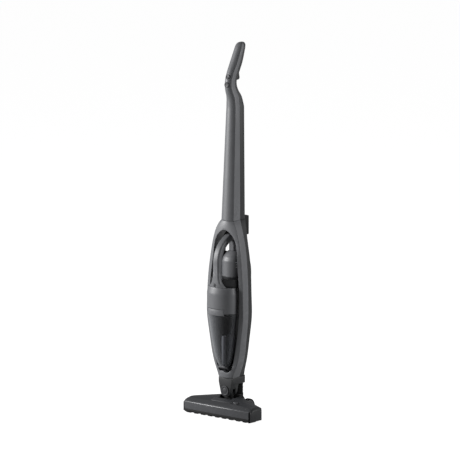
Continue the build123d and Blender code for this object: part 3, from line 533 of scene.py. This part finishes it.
def rounded_node(node, finish, radius):
    """A solid's own shape with its outer corners rounded, standing for the node."""
    bm = welded(node)
    bmesh.ops.bevel(
        bm,
        geom=[edge for edge in bm.edges if outer_corner(edge)],
        offset=radius,
        offset_type="OFFSET",
        affect="EDGES",
        segments=BEVEL_SEGMENTS,
        profile=0.5,
        material=-1,
        clamp_overlap=True,
    )
    new_piece(node + "_moulded", bm, finish, node)


def turned_outline(points, centre, axis, facets, closed):
    """Outline turned all the way round an axis, with its ends joined first if it is closed."""
    bm = bmesh.new()
    line = [bm.verts.new(point) for point in points]
    ends = line[1:] + line[:1] if closed else line[1:]
    edges = [bm.edges.new(pair) for pair in zip(line, ends)]
    bmesh.ops.spin(
        bm, geom=line + edges, cent=centre, axis=axis, angle=math.tau, steps=facets, use_merge=True
    )
    bmesh.ops.remove_doubles(bm, verts=bm.verts, dist=WELD)
    bmesh.ops.recalc_face_normals(bm, faces=bm.faces)
    return bm


class VacuumOperator(bpy.types.Operator):
    """Shared settings of the vacuum's operators"""

    bl_options = {"REGISTER", "UNDO"}


class VACUUM_OT_finishes(VacuumOperator):
    """Make the vacuum's materials"""

    bl_idname = "vacuum.finishes"
    bl_label = "Finishes"

    def execute(self, context):
        soft = context.scene.vacuum_sizes.soft_edge / MM
        FINISHES.update(shell_finishes(context.scene.vacuum_colours, soft))
        FINISHES.update(inside_finishes())
        return {"FINISHED"}


class VACUUM_OT_insides(VacuumOperator):
    """Give the hidden solids their finishes"""

    bl_idname = "vacuum.insides"
    bl_label = "Insides"

    hidden = {
        "steel": [
            "brush_bearings",
            "wheel_axles",
            "yoke_pins",
            "motor_pulley",
            "nozzle_screws",
            "frame_screws",
        ],
        "can": ["brush_motor", "suction_motor"],
        "rubber": ["drive_belt", "nose_seal", "wiring"],
        "board": ["dock_board", "switch_board", "control_board"],
        "wrap": ["battery_cells"],
        "black": ["inlet_duct", "fan_shroud", "impeller", "filter_frame", "brush_core", "brush_pulley"],
    }

    def execute(self, context):
        for finish, nodes in self.hidden.items():
            for node in nodes:
                for slot in frame["nodes"][node].material_slots:
                    slot.material = FINISHES[finish]
        return {"FINISHED"}


class VACUUM_OT_nozzle(VacuumOperator):
    """Build the floor nozzle's shells, pedal and latch"""

    bl_idname = "vacuum.nozzle"
    bl_label = "Floor nozzle"

    def execute(self, context):
        sizes = context.scene.vacuum_sizes
        rounded_node("nozzle_cover", "charcoal", sizes.edge)
        rounded_node("nozzle_sole", "black", sizes.fine_edge)
        rounded_node("front_bar", "bar", sizes.edge)
        rounded_node("end_cap_left", "dark", sizes.edge)
        rounded_node("end_cap_right", "dark", sizes.edge)
        rounded_node("front_glides", "black", sizes.fine_edge)
        rounded_node("foot_pedal", "charcoal", sizes.fine_edge)
        rounded_node("brush_latch", "bar", sizes.fine_edge)
        return {"FINISHED"}


class VACUUM_OT_wheels(VacuumOperator):
    """Build the rear wheels and their tyres"""

    bl_idname = "vacuum.wheels"
    bl_label = "Wheels"

    facets = 72
    grooves = 2
    shoulder = 1.6 * MM
    shoulder_nip = 0.3 * shoulder

    def execute(self, context):
        sizes = context.scene.vacuum_sizes
        for side in ("left", "right"):
            rounded_node(f"wheel_{side}", "bar", sizes.fine_edge)
            self.tyre(f"tyre_{side}", sizes.tread_depth)
        return {"FINISHED"}

    def tyre(self, node, groove):
        """Tyre turned from a round-shouldered profile with grooves round its tread."""
        low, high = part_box(node)
        hub_low, hub_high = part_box(node.replace("tyre", "wheel"))
        centre = (low + high) / 2
        outer = (high.z - low.z) / 2
        inner = (hub_high.z - hub_low.z) / 2
        half = (high.x - low.x) / 2
        bands = 2 * self.grooves + 1
        land = 2 * half / bands
        nip = self.shoulder_nip
        side = [(half, inner), (half, outer - self.shoulder), (half - nip, outer - nip)]
        profile = [(-x, radius) for x, radius in side]
        for band in range(bands):
            radius = outer - groove if band % 2 else outer
            left = max(band * land, self.shoulder) - half
            right = min((band + 1) * land, 2 * half - self.shoulder) - half
            profile += [(left, radius), (right, radius)]
        profile += reversed(side)
        points = [centre + Vector((x, 0, radius)) for x, radius in profile]
        bm = turned_outline(points, centre, (1, 0, 0), self.facets, closed=True)
        new_piece(node + "_tread", bm, "rubber", node)


class VACUUM_OT_bristles(VacuumOperator):
    """Plant bristle tufts in spiral rows on the brush roll"""

    bl_idname = "vacuum.bristles"
    bl_label = "Bristles"

    rows = 4
    tufts = 44
    sides = 7
    turn = math.radians(150)
    reach = 17.4 * MM
    root = 0.6 * MM
    # Radii of a tuft as shares of its spread
    root_share = 0.36
    tip_share = 0.6

    def execute(self, context):
        low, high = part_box("brush_bristles")
        core_low, core_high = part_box("brush_core")
        centre = (core_low + core_high) / 2
        core = (core_high.z - core_low.z) / 2
        width = context.scene.vacuum_sizes.tuft_spread
        first = low.x + width
        row_length = high.x - low.x - 2 * width
        lift = Matrix.Translation((0, 0, (core + self.reach - self.root) / 2))
        bm = bmesh.new()
        for row in range(self.rows):
            for step in range(self.tufts):
                share = step / (self.tufts - 1)
                # Each row turns back at the roll's middle, so that it sweeps inwards
                angle = math.tau * row / self.rows + self.turn * abs(share - 0.5)
                place = Matrix.Translation((first + share * row_length, centre.y, centre.z))
                bmesh.ops.create_cone(
                    bm,
                    cap_ends=True,
                    segments=self.sides,
                    radius1=width * self.root_share,
                    radius2=width * self.tip_share,
                    depth=self.reach - core + self.root,
                    matrix=place @ Matrix.Rotation(angle, 4, "X") @ lift,
                )
        new_piece("bristle_tufts", bm, "bristle", "brush_bristles")
        return {"FINISHED"}


class VACUUM_OT_neck(VacuumOperator):
    """Build the neck, its yoke and the ribbed hose"""

    bl_idname = "vacuum.neck"
    bl_label = "Neck"

    ribs = 8
    rib_steps = 8
    facets = 48
    wall = 5.0 * MM

    def execute(self, context):
        sizes = context.scene.vacuum_sizes
        rounded_node("neck_shell", "dark", sizes.edge)
        rounded_node("yoke", "black", sizes.fine_edge)
        rounded_node("pivot_pin", "charcoal", sizes.fine_edge)
        self.ribbed_hose(sizes.rib_depth)
        return {"FINISHED"}

    def ribbed_hose(self, depth):
        """Hose wall turned from its rib profile and its bore."""
        low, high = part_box("neck_hose")
        centre = (low + high) / 2
        outer = centre.x + (high.x - low.x) / 2
        steps = self.rib_steps * self.ribs
        ribbed, bore = [], []
        for step in range(steps + 1):
            share = step / steps
            dip = 0.5 + 0.5 * math.cos(math.tau * self.ribs * share)
            height = low.z + share * (high.z - low.z)
            ribbed.append((outer - depth * dip, centre.y, height))
            bore.append((outer - self.wall, centre.y, height))
        bm = turned_outline(ribbed + bore[::-1], centre, (0, 0, 1), self.facets, closed=True)
        hose = new_piece("ribbed_hose", bm, "rubber", "neck_hose", riding=False)
        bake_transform(hose)


class VACUUM_OT_frame(VacuumOperator):
    """Build the leaf-shaped frame's shells"""

    bl_idname = "vacuum.frame"
    bl_label = "Frame"

    def execute(self, context):
        sizes = context.scene.vacuum_sizes
        rounded_node("frame_front", "shell", sizes.edge)
        rounded_node("frame_back", "dark", sizes.fine_edge)
        rounded_node("rear_cover", "dark", sizes.edge)
        rounded_node("rear_bracket", "black", sizes.edge)
        rounded_node("dock_contacts", "black", sizes.fine_edge)
        return {"FINISHED"}


class VACUUM_OT_tube(VacuumOperator):
    """Build the tube, the bent grip and its buttons"""

    bl_idname = "vacuum.tube"
    bl_label = "Tube and grip"

    facets = 64
    dish_steps = 5
    lip = 0.7 * MM
    dip = 0.5 * MM
    # A button's rim from its side to its dish, in lips inwards and lips below the crown
    rim = [(0.0, 1.0), (0.3, 0.3), (1.0, 0.0), (2.0, 0.0), (2.2, 0.5), (2.8, 0.5), (3.0, 0.0)]

    def execute(self, context):
        sizes = context.scene.vacuum_sizes
        rounded_node("tube_front", "shell", sizes.edge)
        rounded_node("tube_back", "dark", sizes.fine_edge)
        self.dished_button("power_button", "power_press")
        self.dished_button("boost_button", "boost_press")
        rounded_node("grip_spur", "dark", sizes.edge)
        return {"FINISHED"}

    def dished_button(self, node, joint):
        """Round button with a raised rim, a fine ring and a finger dish, along its own press."""
        low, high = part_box(node)
        centre = (low + high) / 2
        joints = frame["record"]["behaviour"]["joints"]
        press = Vector(next(row["axis"] for row in joints if row["name"] == joint))
        radius = (high.x - low.x) / 2
        # The solid leans with its press, so its box is deeper than the button is long
        length = ((high.y - low.y) - 2 * radius * abs(press.z)) / press.y
        crown = [(radius - inwards * self.lip, length - below * self.lip) for inwards, below in self.rim]
        dish_radius = crown[-1][0]
        profile = [(0.0, 0.0), (radius, 0.0), *crown]
        for step in range(1, self.dish_steps + 1):
            share = step / self.dish_steps
            profile.append((dish_radius * (1 - share), length - self.dip * math.sin(share * math.pi / 2)))
        points = [(out, 0, along) for out, along in profile]
        bm = turned_outline(points, (0, 0, 0), (0, 0, 1), self.facets, closed=False)
        turn = (-press).to_track_quat("Z", "X").to_matrix().to_4x4()
        place = Matrix.Translation(centre + press * length / 2) @ turn
        bmesh.ops.transform(bm, matrix=place, verts=bm.verts)
        new_piece(node + "_dished", bm, "charcoal", node)


class VACUUM_OT_hand_unit(VacuumOperator):
    """Build the hand unit's shells, handle and lights"""

    bl_idname = "vacuum.hand_unit"
    bl_label = "Hand unit"

    def execute(self, context):
        sizes = context.scene.vacuum_sizes
        rounded_node("hand_collar", "shell", sizes.edge)
        rounded_node("hand_housing", "dark", sizes.fine_edge)
        rounded_node("motor_dome", "shell", sizes.fine_edge)
        rounded_node("dome_lights", "lamp", sizes.fine_edge / 2)
        rounded_node("hand_handle", "shell", sizes.edge)
        rounded_node("hand_button", "charcoal", sizes.fine_edge)
        rounded_node("cup_latch", "shell", sizes.fine_edge)
        return {"FINISHED"}


class VACUUM_OT_cup(VacuumOperator):
    """Build the smoked dust cup with its pipe, nose and filter"""

    bl_idname = "vacuum.cup"
    bl_label = "Dust cup"

    pleats = 44
    pleat_steps = 4
    fold = 0.14
    taper = 0.66
    foot_back = 1.5 * MM

    def execute(self, context):
        sizes = context.scene.vacuum_sizes
        rounded_node("dust_cup", "smoke", sizes.fine_edge)
        rounded_node("inlet_pipe", "pale", sizes.fine_edge)
        rounded_node("cup_nose", "bar", sizes.edge)
        self.pleated_filter("filter_cartridge")
        return {"FINISHED"}

    def pleated_filter(self, node):
        """Tapered filter whose wall is folded into upright pleats, closed at its foot."""
        low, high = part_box(node)
        middle = (low + high) / 2
        half = (high - low) / 2
        bm = bmesh.new()
        bmesh.ops.create_circle(bm, cap_ends=True, segments=self.pleat_steps * self.pleats, radius=1.0)
        for vert in bm.verts:
            angle = math.atan2(vert.co.y, vert.co.x)
            vert.co *= 1 - self.fold * (0.5 - 0.5 * math.cos(self.pleats * angle))
        brim = bm.verts[:]
        pulled = bmesh.ops.extrude_face_region(bm, geom=bm.faces[:])
        foot = [part for part in pulled["geom"] if isinstance(part, bmesh.types.BMVert)]
        rings = [(brim, 1.0, 0.0, high.z), (foot, self.taper, self.foot_back, low.z)]
        for verts, size, back, height in rings:
            place = Matrix.Translation((middle.x, middle.y + back, height))
            spread = Matrix.Diagonal((size * half.x, size * half.y, 1.0, 1.0))
            bmesh.ops.transform(bm, matrix=place @ spread, verts=verts)
        bmesh.ops.recalc_face_normals(bm, faces=bm.faces)
        new_piece("pleated_filter", bm, "paper", node)


def aim(thing, target):
    """Turns a camera or lamp to look at a point."""
    thing.rotation_mode = "QUATERNION"
    thing.rotation_quaternion = (target - thing.location).to_track_quat("-Z", "Y")


class VACUUM_OT_stage(VacuumOperator):
    """Set the pale floor, the soft lamps and the camera"""

    bl_idname = "vacuum.stage"
    bl_label = "Stage"

    # Metres
    floor_half = 14.0
    view_depth = 1000.0
    # Brightness as the camera sees it, in reflections, and as light on the vacuum
    sky_seen, sky_mirrored, sky_fill = 1.0, 0.3, 0.13
    floor_seen, floor_mirrored, floor_fill = 0.95, 0.4, 0.0
    white = linear("#ffffff")
    paper = linear("#8b8b8b")
    # Place and width in metres, and power in watts
    lamps = [
        ("key_lamp", (-2.05, -1.65, 1.2), 1.3, 105.0),
        ("rim_lamp", (2.0, 1.0, 1.2), 1.2, 34.0),
    ]

    def execute(self, context):
        scene = context.scene
        target = (CAD_LOW + CAD_HIGH) / 2
        self.camera(scene, target)
        for name, place, size, power in self.lamps:
            lamp = bpy.data.lights.new(name, "AREA")
            lamp.shape = "DISK"
            lamp.size = size
            lamp.energy = power
            holder = bpy.data.objects.new(name, lamp)
            scene.collection.objects.link(holder)
            holder.location = Vector(place)
            aim(holder, target)
        self.world(scene)
        self.floor(scene)
        scene.view_settings.view_transform = "Standard"
        return {"FINISHED"}

    def camera(self, scene, target):
        """Camera far off with a long lens, as the photograph has hardly any perspective."""
        sizes = scene.vacuum_sizes
        eye = bpy.data.cameras.new("camera")
        eye.lens = eye.sensor_width * sizes.camera_distance / sizes.field
        eye.clip_end = self.view_depth
        holder = bpy.data.objects.new("camera", eye)
        scene.collection.objects.link(holder)
        turn, lift = sizes.azimuth, sizes.elevation
        back = Vector((math.sin(turn) * math.cos(lift), -math.cos(turn) * math.cos(lift), math.sin(lift)))
        holder.location = target + back * sizes.camera_distance
        aim(holder, target)
        scene.camera = holder

    def ray_level(self, tree, seen, mirrored, fill):
        """Brightness by kind of ray: seen direct or through clear pieces, in reflections, or as fill."""
        path = add_node(tree, "ShaderNodeLightPath", {})
        direct = add_node(
            tree,
            "ShaderNodeMath",
            {"operation": "MAXIMUM"},
            [(0, path, "Is Camera Ray"), (1, path, "Is Transmission Ray")],
        )
        bright = add_node(
            tree, "ShaderNodeMapRange", {"To Min": fill, "To Max": seen}, [("Value", direct, "Value")]
        )
        shine = add_node(
            tree,
            "ShaderNodeMapRange",
            {"To Min": fill, "To Max": mirrored},
            [("Value", path, "Is Glossy Ray")],
        )
        return add_node(
            tree, "ShaderNodeMath", {"operation": "MAXIMUM"}, [(0, bright, "Result"), (1, shine, "Result")]
        )

    def world(self, scene):
        """White studio round the vacuum that gives it only a little fill."""
        world = bpy.data.worlds.new("studio")
        scene.world = world
        world.use_nodes = True
        tree = world.node_tree
        tree.nodes.clear()
        level = self.ray_level(tree, self.sky_seen, self.sky_mirrored, self.sky_fill)
        sky = add_node(
            tree, "ShaderNodeBackground", {"Color": rgba(self.white)}, [("Strength", level, "Value")]
        )
        add_node(tree, "ShaderNodeOutputWorld", {}, [("Surface", sky, "Background")])

    def floor(self, scene):
        """White paper floor that keeps a faint shadow."""
        bm = bmesh.new()
        bmesh.ops.create_grid(bm, x_segments=1, y_segments=1, size=self.floor_half)
        mesh = bpy.data.meshes.new("floor")
        bm.to_mesh(mesh)
        bm.free()
        floor = bpy.data.objects.new("floor", mesh)
        scene.collection.objects.link(floor)
        material, tree, output = new_material("white_paper_floor")
        level = self.ray_level(tree, self.floor_seen, self.floor_mirrored, self.floor_fill)
        glow = add_node(
            tree, "ShaderNodeEmission", {"Color": rgba(self.white)}, [("Strength", level, "Value")]
        )
        paper = add_node(tree, "ShaderNodeBsdfDiffuse", {"Color": rgba(self.paper)})
        both = add_node(tree, "ShaderNodeAddShader", {}, [(0, glow, "Emission"), (1, paper, "BSDF")])
        tree.links.new(both.outputs["Shader"], output.inputs["Surface"])
        mesh.materials.append(material)


BUILD_ORDER = [
    VACUUM_OT_finishes,
    VACUUM_OT_insides,
    VACUUM_OT_nozzle,
    VACUUM_OT_wheels,
    VACUUM_OT_bristles,
    VACUUM_OT_neck,
    VACUUM_OT_frame,
    VACUUM_OT_tube,
    VACUUM_OT_hand_unit,
    VACUUM_OT_cup,
    VACUUM_OT_stage,
]


class VACUUM_PT_sidebar(bpy.types.Panel):
    """Sidebar list of the vacuum's pieces, sizes and colours"""

    bl_idname = "VACUUM_PT_sidebar"
    bl_label = "Stick vacuum"
    bl_space_type = "VIEW_3D"
    bl_region_type = "UI"
    bl_category = "Vacuum"

    def draw(self, context):
        column = self.layout.column()
        for operator in BUILD_ORDER:
            column.operator(operator.bl_idname)
        for group in (context.scene.vacuum_sizes, context.scene.vacuum_colours):
            for name in group.__annotations__:
                column.prop(group, name)


CLASSES = [VacuumColours, VacuumSizes, *BUILD_ORDER, VACUUM_PT_sidebar]


def register():
    """Adds the classes and gives each scene its colours and sizes."""
    for one in CLASSES:
        bpy.utils.register_class(one)
    bpy.types.Scene.vacuum_colours = bpy.props.PointerProperty(type=VacuumColours)
    bpy.types.Scene.vacuum_sizes = bpy.props.PointerProperty(type=VacuumSizes)


def unregister():
    """Takes away what register adds."""
    del bpy.types.Scene.vacuum_sizes
    del bpy.types.Scene.vacuum_colours
    for one in reversed(CLASSES):
        bpy.utils.unregister_class(one)


def main():
    """Registers the add-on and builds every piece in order."""
    register()
    for operator in BUILD_ORDER:
        group, name = operator.bl_idname.split(".")
        getattr(getattr(bpy.ops, group), name)()


if __name__ == "__main__":
    main()
